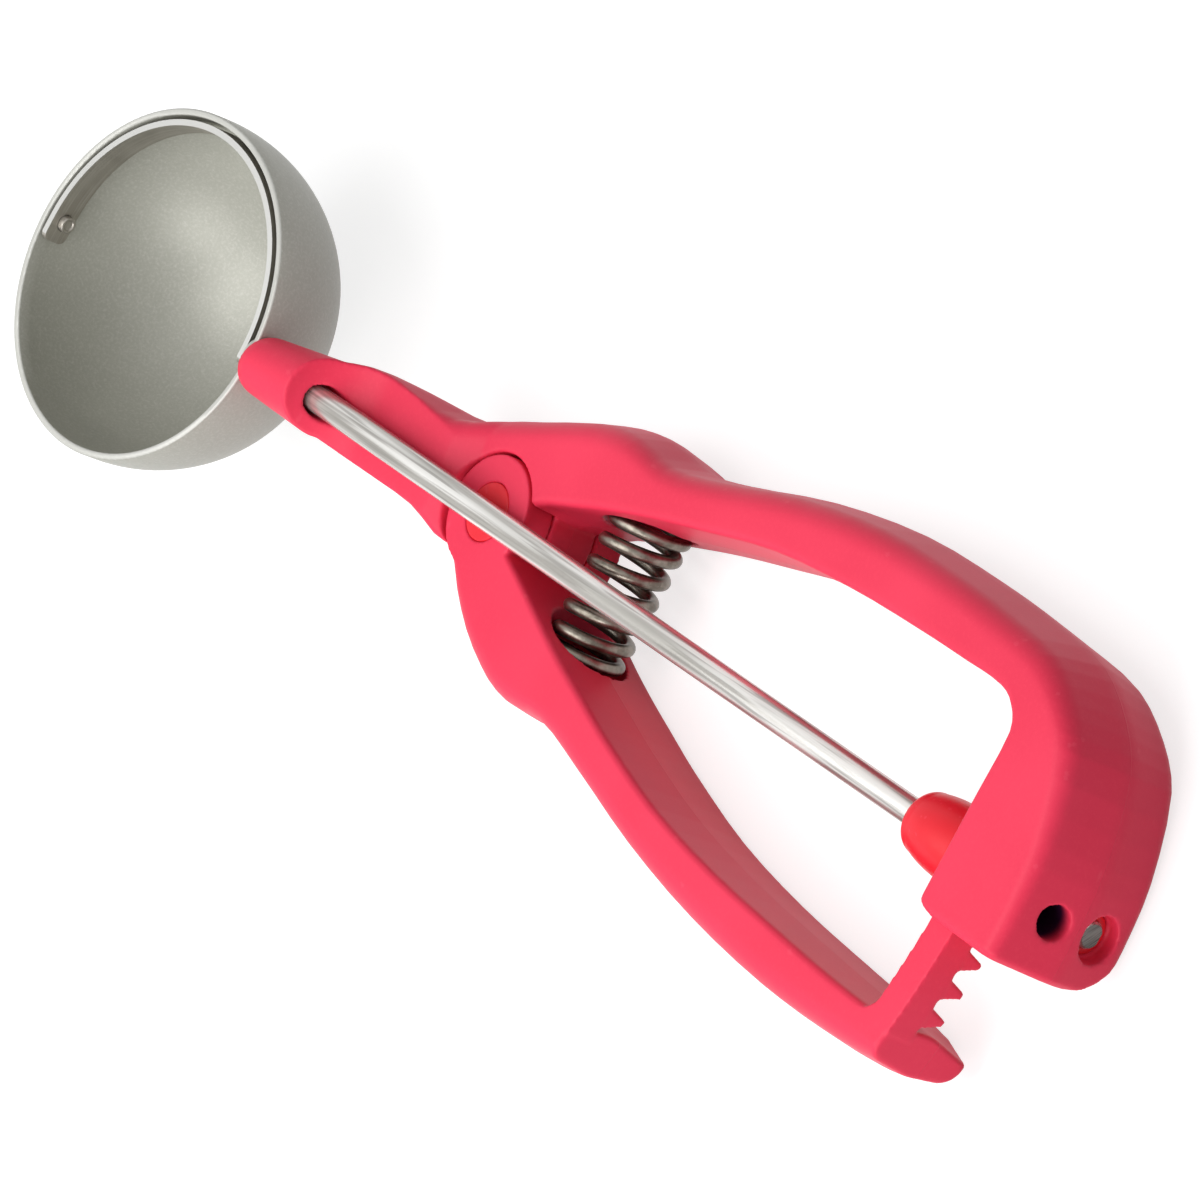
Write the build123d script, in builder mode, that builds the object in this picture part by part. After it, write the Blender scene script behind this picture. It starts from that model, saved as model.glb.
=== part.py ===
from build123d import *
import math
import os

os.makedirs("parts", exist_ok=True)

# Ice cream scoop with two squeeze handles, in millimetres and degrees.
# The frame: Z is the pivot axis, X runs to the rear, Y to the upper handle,
# and the origin lies on the pivot axis where the tool rests on the table.

# Drive shaft
shaft_dia = 4.0
shaft_over_handle = 1.2
bowl_back_to_pivot = 49.7
shaft_end_inset = 2.35
shaft_flat_depth = 0.5
shaft_end_chamfer = 0.3
running_gap = 0.05
drive_gap = 0.02

# Bowl
bowl_radius = 26.0
bowl_wall = 1.0
bowl_rim_height = 2.6
rim_rounding = 0.3

# Wiper and its two pivots
wiper_above = 2.5
wiper_below = 1.7
wiper_thickness = 0.9
wiper_near_gap = 0.8
wiper_far_gap = 0.6
wiper_overhang = 3.2
wiper_near_overhang = 2.0
wiper_end_rounding = 1.2
tenon_dia = 2.6
tenon_proud = 0.6
end_pin_dia = 2.5
end_pin_gap = 0.08
end_pin_proud = 1.0

# Steel sleeve that joins the bowl to the head
sleeve_dia = 6.4
sleeve_length = 11.7
sleeve_reach = 0.3
sleeve_ring_width = 2.0
sleeve_ring_back = 5.0

# Handles
handle_depth = 18.5
head_dia = 10.8
head_front_dia = 8.2
head_back_dia = 11.7
head_skew = 0.7
head_rise = 0.8
head_overlap = 2.4
head_length = 17.5
head_rounding = 3.6
neck_overlap = 4.0
neck_swell = 1.1
hub_reach = 25.0
hub_gap = 10.2
hub_spread = 22.0
lower_hub_spread = 21.3
finger_gap = 21.7
lower_finger_gap = 21.9
grip_spread = 32.4
lower_grip_spread = 31.4
tip_inset = 2.6
tip_skew = -1.2
tip_spread = 29.3
tip_inner = 22.7
tip_rise = 2.9
tip_pinch = 1.7
inner_lean = 0.5
outer_lean = 2.1
edge_rounding = 1.0
outer_rounding = 4.0
parting_rounding = 8.0
end_chamfer = 0.8
blend_steps = 3
scoop_start = 11.8
scoop_radius = 10.8
shaft_floor_gap = 0.7
shaft_hole_gap = 0.5

# Pivot
pivot_dia = 8.6
eye_radius = 8.4
eye_groove = 0.4
eye_plate = 5.0
eye_side_gap = 0.3

# Rack and pinion
pinion_teeth = 6
pitch_radius = 4.3
pinion_root_radius = 2.75
tooth_gap = 0.35
tooth_tip_angle = 7.0
tooth_pitch_angle = 12.0
tooth_root_angle = 19.5
rack_tip_gap = 0.25
rack_root_height = 5.8
rack_relief = 0.256
tooth_inset = 0.1
wiper_sweep = 180.0
rack_teeth = 6
rack_tip_width = 0.86
rack_root_width = 2.9
arm_inner_radius = 122.0
arm_width = 5.2
arm_thickness = 4.5
arm_reach = 4.5
arm_root = 24.5
arm_corner_rounding = 3.6
slot_gap = 0.4
slot_end_gap = 1.0
collar_dia = 11.2
collar_gap = 0.06
nose_length = 9.6
nose_front_dia = 9.4
nose_rounding = 2.2
collar_length = 9.8
journal_dia = 6.0
journal_back = 0.8

# Rear block
block_front_wall = 2.8
block_length = 21.1
block_rise = 3.0
block_foot = 7.9
gap_corner = 5.0
block_lean = 1.8
foot_front_rounding = 5.6
foot_bottom_rounding = 8.5
rear_bore_dia = 7.0
hang_hole_dia = 5.0
hang_hole_depth = 11.5
hang_hole_drop = 6.7

# Return spring
spring_dia = 12.0
spring_wire = 1.95
spring_place = 22.2
spring_length = 24.6
spring_turns = 7.25
spring_end_turns = 1.0
spring_end_pitch = 2.45
spring_start_angle = 210.0
pocket_gap = 0.5
pocket_floor_gap = 0.1

# Places that follow from the sizes: the block round the rack arm, and the shaft from the pivot to the rack
block_front = arm_inner_radius - block_front_wall
block_back = block_front + block_length
block_height = handle_depth + block_rise
hang_hole_height = block_height - hang_hole_drop
arm_outer_radius = arm_inner_radius + arm_width
arm_middle = arm_inner_radius + arm_width / 2
arm_low = handle_depth - arm_thickness
rack_level = arm_low - rack_root_height - rack_relief
rack_tip_height = pinion_root_radius + rack_tip_gap
pinion_tip_radius = rack_root_height - tooth_gap
shaft_height = handle_depth + shaft_over_handle + shaft_dia / 2
slope = math.atan((shaft_height - rack_level) / arm_middle)
bowl_to_pivot = bowl_radius + bowl_back_to_pivot
bowl_to_shaft_end = bowl_to_pivot + block_back / math.cos(slope) - shaft_end_inset
sleeve_ring_dia = sleeve_dia + 0.27 * (head_dia - sleeve_dia)
slot_reach = arm_reach + pitch_radius * math.radians(wiper_sweep) + slot_end_gap

# Directions along the shaft and out of the bowl's mouth
shaft_dir = Vector(math.cos(slope), 0, -math.sin(slope))
mouth_dir = Vector(math.sin(slope), 0, math.cos(slope))
bowl_centre = Vector(0, 0, shaft_height) - shaft_dir * bowl_to_pivot
side_plane = Plane(origin=bowl_centre, x_dir=shaft_dir, z_dir=(0, -1, 0))
mouth_plane = Plane(origin=bowl_centre, x_dir=shaft_dir, z_dir=mouth_dir)
shaft_axis = Axis(bowl_centre, shaft_dir)
shaft_radius = shaft_dia / 2


def across_shaft(distance):
    """Plane square to the shaft, at a distance behind the bowl's centre."""
    return Plane(origin=bowl_centre + shaft_dir * distance, x_dir=(0, 1, 0), z_dir=shaft_dir)


def along_shaft(x_place):
    """Distance behind the bowl's centre of the shaft's point at that X."""
    return bowl_to_pivot + x_place / math.cos(slope)


def shaft_level(x_place):
    """Height of the shaft's axis over the table at that X."""
    return shaft_height - x_place * math.tan(slope)


# Bowl: a drawn half sphere with a short straight wall up to the rim
bowl_inner = bowl_radius - bowl_wall
sleeve_front = bowl_inner - sleeve_reach
with BuildPart() as bowl:
    with BuildSketch(side_plane):
        with BuildLine():
            RadiusArc((0, -bowl_radius), (bowl_radius, 0), -bowl_radius)
            Line((bowl_radius, 0), (bowl_radius, bowl_rim_height))
            Line((bowl_radius, bowl_rim_height), (bowl_inner, bowl_rim_height))
            Line((bowl_inner, bowl_rim_height), (bowl_inner, 0))
            RadiusArc((bowl_inner, 0), (0, -bowl_inner), bowl_inner)
            Line((0, -bowl_inner), (0, -bowl_radius))
        make_face()
    revolve(axis=Axis(bowl_centre, mouth_dir))
    fillet(bowl.edges().group_by(Axis(bowl_centre, mouth_dir))[-1], rim_rounding)
    with BuildSketch(across_shaft(sleeve_front)):
        Circle(sleeve_dia / 2)
    extrude(amount=bowl_radius - sleeve_front + bowl_wall, mode=Mode.SUBTRACT)
    with BuildSketch(across_shaft(-bowl_radius - bowl_wall)):
        Circle(end_pin_dia / 2)
    extrude(amount=3 * bowl_wall, mode=Mode.SUBTRACT)
bowl.part.label = "bowl"
export_step(bowl.part, "parts/bowl.step")

# Sleeve: a steel tube through the bowl's wall, with a ring that anchors it in the head
ring_front = bowl_radius + sleeve_ring_back
with BuildPart() as bowl_sleeve:
    with BuildSketch(across_shaft(sleeve_front)):
        Circle(sleeve_dia / 2)
    extrude(amount=sleeve_length)
    with BuildSketch(across_shaft(ring_front)):
        Circle(sleeve_ring_dia / 2)
    extrude(amount=sleeve_ring_width)
    with BuildSketch(across_shaft(sleeve_front)):
        Circle(shaft_radius + running_gap)
    extrude(amount=sleeve_length, mode=Mode.SUBTRACT)
bowl_sleeve.part.label = "bowl_sleeve"
export_step(bowl_sleeve.part, "parts/bowl_sleeve.step")

# Wiper: a steel strip bent round the inside of the bowl, from pivot to pivot
wiper_near = bowl_inner - wiper_near_gap
wiper_far = wiper_far_gap - bowl_inner
wiper_middle = (wiper_near + wiper_far) / 2
wiper_outer = (wiper_near - wiper_far) / 2
wiper_inner = wiper_outer - wiper_thickness
with BuildPart() as wiper_blade:
    with BuildSketch(mouth_plane.offset(-wiper_below)):
        with BuildLine():
            RadiusArc((wiper_near, 0), (wiper_far, 0), -wiper_outer)
            Line((wiper_far, 0), (wiper_far, -wiper_overhang))
            Line((wiper_far, -wiper_overhang), (wiper_far + wiper_thickness, -wiper_overhang))
            Line((wiper_far + wiper_thickness, -wiper_overhang), (wiper_far + wiper_thickness, 0))
            RadiusArc((wiper_far + wiper_thickness, 0), (wiper_near - wiper_thickness, 0), wiper_inner)
            Polyline(
                (wiper_near - wiper_thickness, 0),
                (wiper_near - wiper_thickness, -wiper_near_overhang),
                (wiper_near, -wiper_near_overhang),
                (wiper_near, 0),
            )
        make_face()
    extrude(amount=wiper_below + wiper_above)
    ends = wiper_blade.edges().filter_by(shaft_axis)
    fillet(ends.filter_by_position(Axis.Y, -2 * wiper_overhang, -tenon_dia / 2), wiper_end_rounding)
    with BuildSketch(across_shaft(0)):
        Circle(tenon_dia / 2 + drive_gap)
    extrude(amount=bowl_inner, mode=Mode.SUBTRACT)
    with BuildSketch(across_shaft(0)):
        Circle(end_pin_dia / 2 + end_pin_gap)
    extrude(amount=-bowl_inner, mode=Mode.SUBTRACT)
wiper_blade.part.label = "wiper_blade"
export_step(wiper_blade.part, "parts/wiper_blade.step")

# End pin: riveted through the bowl's far wall, it carries the wiper's far end
end_pin_tip = wiper_far + wiper_thickness + end_pin_proud
with BuildPart() as wiper_end_pin:
    with BuildSketch(across_shaft(-bowl_radius)):
        Circle(end_pin_dia / 2)
    extrude(amount=end_pin_tip + bowl_radius)
    chamfer(wiper_end_pin.edges().group_by(shaft_axis)[-1], shaft_end_chamfer)
wiper_end_pin.part.label = "wiper_end_pin"
export_step(wiper_end_pin.part, "parts/wiper_end_pin.step")

# Places along the shaft of the pinion's steps, from the rack arm that it meets
teeth_front = along_shaft(arm_inner_radius) - slot_gap
teeth_back = along_shaft(arm_outer_radius) + slot_gap
tilt_of_collar = collar_dia / 2 * math.tan(slope)
collar_back = teeth_front - tilt_of_collar
collar_front = collar_back - collar_length
nose_front = collar_front - nose_length
journal_end = bowl_to_shaft_end - journal_back

# Shaft: a steel rod with a peened tenon in front and a flat for the pinion behind
flat_level = shaft_radius - shaft_flat_depth
with BuildPart() as drive_shaft:
    with BuildSketch(across_shaft(wiper_near)):
        Circle(shaft_radius)
    extrude(amount=bowl_to_shaft_end - wiper_near)
    chamfer(drive_shaft.edges().group_by(shaft_axis)[-1], shaft_end_chamfer)
    with BuildSketch(across_shaft(wiper_near)):
        Circle(tenon_dia / 2)
    extrude(amount=-wiper_thickness - tenon_proud)
    with BuildSketch(across_shaft(collar_front)):
        with Locations((0, -shaft_radius)):
            Rectangle(shaft_dia, 2 * shaft_flat_depth)
    extrude(amount=bowl_to_shaft_end - collar_front, mode=Mode.SUBTRACT)
drive_shaft.part.label = "drive_shaft"
export_step(drive_shaft.part, "parts/drive_shaft.step")


def handle_section(
    inner_x, inner_y, outer_x, outer_y, bottom, top,
    inner_slant, outer_slant, inner_round, outer_round, pinch=0,
):
    """Upright section of a handle, widest at its parting line, pinched in below where it ends in a hook."""
    across = Vector(outer_x - inner_x, outer_y - inner_y, 0)
    plane = Plane(origin=(inner_x, inner_y, 0), x_dir=across, z_dir=across.cross(Vector(0, 0, 1)))
    width = across.length
    parting = (bottom + top) / 2
    widest_round = min(0.42 * width, 0.75 * (top - parting))
    inner_round = min(inner_round, widest_round)
    outer_round = min(outer_round, widest_round)
    low_width = width - inner_slant - outer_slant - pinch
    low_inner = min(inner_round / (1 + pinch), 0.45 * low_width)
    low_outer = min(outer_round + pinch, 0.9 * low_width)
    with BuildSketch(plane) as section:
        with BuildLine():
            FilletPolyline(
                (inner_slant + pinch, bottom),
                (width - outer_slant, bottom),
                (width, parting),
                (width - outer_slant, top),
                (inner_slant, top),
                (0, parting),
                radius=[
                    low_inner, low_outer, parting_rounding, outer_round, inner_round, parting_rounding
                ],
                close=True,
            )
        make_face()
    return section.sketch


def blended(rows, steps):
    """The rows with steps between them: the plan on a smooth run, the rest in even steps."""
    middles = [((row[0] + row[2]) / 2, (row[1] + row[3]) / 2) for row in rows]
    runs = [0.0]
    for before, after in zip(middles, middles[1:]):
        runs.append(runs[-1] + math.dist(before, after))
    slopes = []
    for number in range(len(rows)):
        first = max(number - 1, 0)
        last = min(number + 1, len(rows) - 1)
        span = runs[last] - runs[first]
        slopes.append([(after - before) / span for before, after in zip(rows[first][:4], rows[last][:4])])
    stations = []
    for number, (row, following) in enumerate(zip(rows, rows[1:])):
        span = runs[number + 1] - runs[number]
        for step in range(steps):
            share = step / steps
            station = [value + share * (after - value) for value, after in zip(row, following)]
            bend = 2 * share**3 - 3 * share**2 + share
            leave = (share**3 - 2 * share**2 + share) * span
            reach = (share**3 - share**2) * span
            for place in range(4):
                station[place] += bend * (row[place] - following[place])
                station[place] += leave * slopes[number][place] + reach * slopes[number + 1][place]
            stations.append(station)
    stations.append(rows[-1])
    return stations


def arm_sector(inner_radius, outer_radius, low_y, high_y):
    """Corners of a band round the pivot, on the rear side between two Y places."""
    corners = []
    radii = (inner_radius, outer_radius, outer_radius, inner_radius)
    for radius, place in zip(radii, (low_y, low_y, high_y, high_y)):
        corners.append((math.sqrt(radius**2 - place**2), place))
    return corners


# Rows of the upper handle: inner x and y, outer x and y at the parting line, underside, top,
# how far the inner and outer wall lean in, and the inner and outer rounding
head_radius = head_dia / 2
head_front = bowl_radius - head_overlap
head_back = head_front + head_length
neck_x = (head_back - neck_overlap - bowl_to_pivot) * math.cos(slope)
neck_axis = shaft_level(neck_x)
neck_low = neck_axis - head_radius
neck_round = 0.7 * head_radius
deep = handle_depth
reach = block_front
lean = outer_lean
soft = edge_rounding
wide = outer_rounding
foot = block_foot - end_chamfer


def top_at(x_place):
    """Height of the upper handle's top, which rises from the hub to the rear block."""
    return handle_depth + block_rise * x_place / block_front


def hub_row(inner_x, inner_y, outer_x, outer_y, top):
    """Row of the hub, from shares of its reach and sizes across it."""
    return (
        inner_x * hub_reach, inner_y, outer_x * hub_reach, outer_y, 0, top, inner_lean, lean, soft, wide
    )


def grip_row(inner_x, inner_y, outer_x, outer_y, slant, rounding):
    """Row of the upper grip, from shares of its reach, finger gap and spread."""
    return (
        inner_x * reach, inner_y * finger_gap, outer_x * reach, outer_y * grip_spread, 0,
        top_at((inner_x + outer_x) / 2 * reach), inner_lean, slant * lean, soft, rounding * wide,
    )


upper_rows = [
    (
        neck_x, -0.88 * head_radius, neck_x, 0.96 * head_radius, neck_axis - 0.9 * head_radius,
        neck_axis + 0.9 * head_radius, 2.4 * inner_lean, 0.57 * lean, neck_round, neck_round,
    ),
    (
        0.845 * neck_x, -0.975 * head_radius, 0.845 * neck_x, 1.26 * head_radius + neck_swell,
        0.79 * neck_low, shaft_level(0.845 * neck_x) + head_radius / 2, 2.4 * inner_lean, 0.57 * lean,
        neck_round, neck_round,
    ),
    (
        0.65 * neck_x, -1.056 * head_radius, 0.65 * neck_x, 1.63 * head_radius, 0.535 * neck_low,
        shaft_level(0.65 * neck_x), 2 * inner_lean, 0.67 * lean, 3 * soft, 0.75 * wide,
    ),
    (
        0.365 * neck_x, -1.111 * head_radius, 0.39 * neck_x, 1.778 * head_radius, 0.146 * neck_low,
        shaft_level(0.365 * neck_x) - shaft_dia / 2, 1.4 * inner_lean, 0.95 * lean, 2 * soft, 0.875 * wide,
    ),
    hub_row(-0.208, -0.905 * eye_radius, -0.32, 0.605 * hub_spread, deep),
    hub_row(0.06, -0.298 * eye_radius, -0.06, 0.727 * hub_spread, deep),
    hub_row(0.304, 0.373 * hub_gap, 0.18, 0.841 * hub_spread, deep),
    hub_row(0.68, 0.745 * hub_gap, 0.46, 0.955 * hub_spread, deep),
    hub_row(1, hub_gap, 0.76, hub_spread, top_at(0.8 * hub_reach)),
    grip_row(0.2768, 0.576, 0.2391, 0.6574, 0.95, 0.9),
    grip_row(0.3607, 0.6912, 0.3272, 0.7253, 0.95, 0.95),
    grip_row(0.495, 0.8618, 0.4698, 0.8735, 1, 1),
    grip_row(0.646, 0.9585, 0.6292, 0.9753, 1, 1),
    grip_row(0.7802, 1, 0.7802, 1, 1, 1),
    grip_row(0.8893, 1.0184, 0.8977, 0.9938, 1, 1),
    (
        block_front - gap_corner, 1.0138 * finger_gap, block_front + 0.038 * block_length,
        0.9568 * grip_spread, 0, top_at(block_front - 0.84 * gap_corner), 1.6 * inner_lean, lean, soft, wide,
    ),
    (
        block_front - 0.32 * gap_corner, 0.9539 * finger_gap, block_front + 0.455 * block_length,
        0.8272 * grip_spread, 0, block_height, 2.4 * inner_lean, lean, soft, 0.95 * wide,
    ),
    (
        block_front, 0.8295 * finger_gap, block_front + 0.7393 * block_length, 0.6543 * grip_spread,
        0, block_height, block_lean, 0.95 * lean, soft, 0.85 * wide,
    ),
    (
        block_front, 0.4147 * finger_gap, block_front + 0.9479 * block_length, 0.284 * grip_spread,
        0, block_height, block_lean, block_lean, soft, 0.65 * wide,
    ),
    (block_front, 0, block_back, 0, 0, block_height, block_lean, block_lean, soft, 0.55 * wide),
    (block_front, -foot, block_back, -foot, 0, block_height, block_lean, block_lean, soft, 0.5 * wide),
]
upper_end = (
    block_front + end_chamfer, -block_foot, block_back - end_chamfer, -block_foot,
    end_chamfer, block_height - end_chamfer, block_lean, block_lean, soft, 0.5 * wide,
)

# Rings of the head: place along the shaft, shift across it and radius, round in front and wider behind
front_radius = head_front_dia / 2
back_radius = head_back_dia / 2
head_rings = []
for quarter in range(5):
    angle = math.pi / 8 * quarter
    place = head_rounding * (1 - math.cos(angle))
    share = place / head_length
    full = front_radius + share * (back_radius - front_radius)
    shift = share * (head_skew + head_rise) - head_skew
    head_rings.append((head_front + place, shift, full - head_rounding * (1 - math.sin(angle))))
head_rings.append((head_back, head_rise, back_radius))
head_rings.append((head_back + head_rounding, head_rise, front_radius))

# Upper handle: head, neck, hub with its tongue, grip and rear block in one moulding
tongue_low = eye_plate + eye_side_gap
tongue_high = handle_depth - eye_plate - eye_side_gap
recess_radius = eye_radius + eye_groove
scoop_floor = -shaft_radius - shaft_floor_gap
scoop_place = bowl_radius + scoop_start
scoop_back = along_shaft(-recess_radius)
slot_low = rack_level + rack_tip_height - slot_gap - tilt_of_collar
slot_corners = arm_sector(
    arm_inner_radius - slot_gap, arm_outer_radius + slot_gap, -2 * block_foot, slot_reach
)
foot_front = foot_front_rounding
foot_low = foot_bottom_rounding
rear_face = along_shaft(block_back)
pocket_radius = spring_dia / 2 + pocket_gap
spring_level = handle_depth / 2
spring_plane = Plane(origin=(spring_place, 0, spring_level), x_dir=(1, 0, 0), z_dir=(0, 1, 0))
pocket_reach = spring_length / 2 + pocket_floor_gap
with BuildPart() as upper_handle:
    for row in blended(upper_rows, blend_steps):
        add(handle_section(*row))
    add(handle_section(*upper_end))
    loft(ruled=True)
    for distance, shift, radius in head_rings:
        with BuildSketch(across_shaft(distance)):
            with Locations((shift, 0)):
                Circle(radius)
    loft(ruled=True)
    with BuildSketch(Plane.XY.offset(tongue_low)):
        Circle(eye_radius)
    extrude(amount=tongue_high - tongue_low)
    with BuildSketch(side_plane):
        with BuildLine():
            Polyline(
                (scoop_place + scoop_radius, scoop_floor),
                (scoop_back, scoop_floor),
                (scoop_back, 2 * head_radius),
                (scoop_place, 2 * head_radius),
                (scoop_place, scoop_floor + scoop_radius),
            )
            RadiusArc(
                (scoop_place, scoop_floor + scoop_radius),
                (scoop_place + scoop_radius, scoop_floor),
                -scoop_radius,
            )
        make_face()
    extrude(amount=3 * head_radius, both=True, mode=Mode.SUBTRACT)
    with BuildSketch(side_plane):
        with BuildLine():
            RadiusArc((0, -bowl_radius), (bowl_radius, 0), -bowl_radius)
            Polyline((bowl_radius, 0), (bowl_radius, bowl_rim_height), (0, bowl_rim_height))
            Line((0, bowl_rim_height), (0, -bowl_radius))
        make_face()
    revolve(axis=Axis(bowl_centre, mouth_dir), mode=Mode.SUBTRACT)
    with BuildSketch(across_shaft(head_front)):
        Circle(sleeve_dia / 2)
    extrude(amount=sleeve_front + sleeve_length - head_front, mode=Mode.SUBTRACT)
    with BuildSketch(across_shaft(ring_front)):
        Circle(sleeve_ring_dia / 2)
    extrude(amount=sleeve_ring_width, mode=Mode.SUBTRACT)
    with BuildSketch(across_shaft(head_front)):
        Circle(shaft_radius + shaft_hole_gap)
    extrude(amount=2 * head_length, mode=Mode.SUBTRACT)
    for plate_low, plate_high in ((-handle_depth, tongue_low), (tongue_high, 2 * handle_depth)):
        with BuildSketch(Plane.XY.offset(plate_low)):
            Circle(recess_radius)
        extrude(amount=plate_high - plate_low, mode=Mode.SUBTRACT)
    with BuildSketch(Plane.XY):
        Circle(pivot_dia / 2)
    extrude(amount=handle_depth, mode=Mode.SUBTRACT)
    with BuildSketch(Plane.XY.offset(slot_low)):
        with BuildLine():
            Line(slot_corners[0], slot_corners[1])
            RadiusArc(slot_corners[1], slot_corners[2], -arm_outer_radius - slot_gap)
            Line(slot_corners[2], slot_corners[3])
            RadiusArc(slot_corners[3], slot_corners[0], arm_inner_radius - slot_gap)
        make_face()
    extrude(amount=handle_depth + slot_gap - slot_low, mode=Mode.SUBTRACT)
    with BuildSketch(across_shaft(nose_front)):
        Circle(collar_dia / 2 + collar_gap)
    extrude(amount=teeth_back + slot_gap - nose_front, mode=Mode.SUBTRACT)
    with BuildSketch(across_shaft(collar_back)):
        Circle(journal_dia / 2 + running_gap)
    extrude(amount=bowl_to_shaft_end - collar_back, mode=Mode.SUBTRACT)
    with BuildSketch(across_shaft(journal_end)):
        Circle(rear_bore_dia / 2)
    extrude(amount=rear_face - journal_end + rear_bore_dia, mode=Mode.SUBTRACT)
    with BuildSketch(Plane(origin=(block_back, 0, hang_hole_height), x_dir=(0, 1, 0), z_dir=(-1, 0, 0))):
        Circle(hang_hole_dia / 2)
    extrude(amount=hang_hole_depth, mode=Mode.SUBTRACT)
    with BuildSketch(spring_plane):
        Circle(pocket_radius)
    extrude(amount=pocket_reach, mode=Mode.SUBTRACT)
    with BuildSketch(Plane.XY):
        with Locations((block_front, -block_foot)):
            Rectangle(2 * foot_front, 2 * foot_front)
        with Locations((block_front + foot_front, -block_foot + foot_front)):
            Circle(foot_front, mode=Mode.SUBTRACT)
    extrude(amount=block_height, mode=Mode.SUBTRACT)
    with BuildSketch(Plane(origin=(block_front - end_chamfer, 0, 0), x_dir=(0, 1, 0), z_dir=(1, 0, 0))):
        with Locations((-block_foot, 0)):
            Rectangle(2 * foot_low, 2 * foot_low)
        with Locations((-block_foot + foot_low, foot_low)):
            Circle(foot_low, mode=Mode.SUBTRACT)
    extrude(amount=block_back - block_front + 2 * end_chamfer, mode=Mode.SUBTRACT)
upper_handle.part.label = "upper_handle"
export_step(upper_handle.part, "parts/upper_handle.step")


def lower_hub_row(inner_x, inner_y, outer_x, outer_y, slants, rounding):
    """Row of the lower hub, from shares of its reach and sizes across it."""
    inner_slant, outer_slant = slants
    return (
        inner_x * hub_reach, -inner_y, outer_x * hub_reach, -outer_y, 0, deep,
        inner_slant * inner_lean, outer_slant * lean, soft, rounding * wide, 0,
    )


def lower_grip_row(inner_x, inner_y, outer_x, outer_y, slant, rounding):
    """Row of the lower grip, from shares of its reach, finger gap and spread."""
    return (
        inner_x * reach, -inner_y * lower_finger_gap, outer_x * reach, -outer_y * lower_grip_spread, 0, deep,
        inner_lean, slant * lean, soft, rounding * wide, 0,
    )


# Rows of the lower handle, as for the upper one
tip_back = arm_outer_radius - tip_inset
tip_chamfer = end_chamfer / 2
lower_rows = [
    lower_hub_row(0.296, 0.2745 * hub_gap, -0.172, 0.881 * eye_radius, (0.6, 0.19), 0.4),
    lower_hub_row(0.64, 0.5686 * hub_gap, 0.088, 0.6761 * lower_hub_spread, (0.8, 0.67), 0.8),
    lower_hub_row(0.96, 0.8529 * hub_gap, 0.448, 0.9202 * lower_hub_spread, (1, 0.95), 1),
    lower_hub_row(1.2, 1.049 * hub_gap, 0.752, lower_hub_spread, (1, 1), 1),
    lower_grip_row(0.302, 0.5708, 0.2349, 0.6497, 0.86, 0.8),
    lower_grip_row(0.3775, 0.6895, 0.3322, 0.7261, 0.86, 0.8),
    lower_grip_row(0.5117, 0.8584, 0.4782, 0.8599, 0.9, 0.9),
    lower_grip_row(0.6544, 0.9543, 0.6334, 0.9554, 0.95, 0.95),
    lower_grip_row(0.797, 1, 0.797, 1, 0.95, 0.95),
    lower_grip_row(0.906, 1.0274, 0.9144, 0.9873, 0.86, 0.85),
    (
        tip_back - 0.3791 * block_length, -tip_inner, tip_back - 0.3081 * block_length,
        -0.9618 * lower_grip_spread, 0.263 * tip_rise, deep, 0.8 * inner_lean, 0.67 * lean, soft, 0.75 * wide,
        0.4 * tip_pinch,
    ),
    (
        tip_back, -tip_inner, tip_back + tip_skew, -tip_spread, tip_rise, deep,
        0.8 * inner_lean, 0.48 * lean, soft, 0.6 * wide, tip_pinch,
    ),
]
lower_end = (
    tip_back + tip_chamfer, -tip_inner - tip_chamfer, tip_back + tip_skew + tip_chamfer,
    -tip_spread + tip_chamfer, tip_rise + tip_chamfer, deep - tip_chamfer, 0.8 * inner_lean, 0.48 * lean,
    soft, 0.4 * wide, tip_pinch,
)

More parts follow.
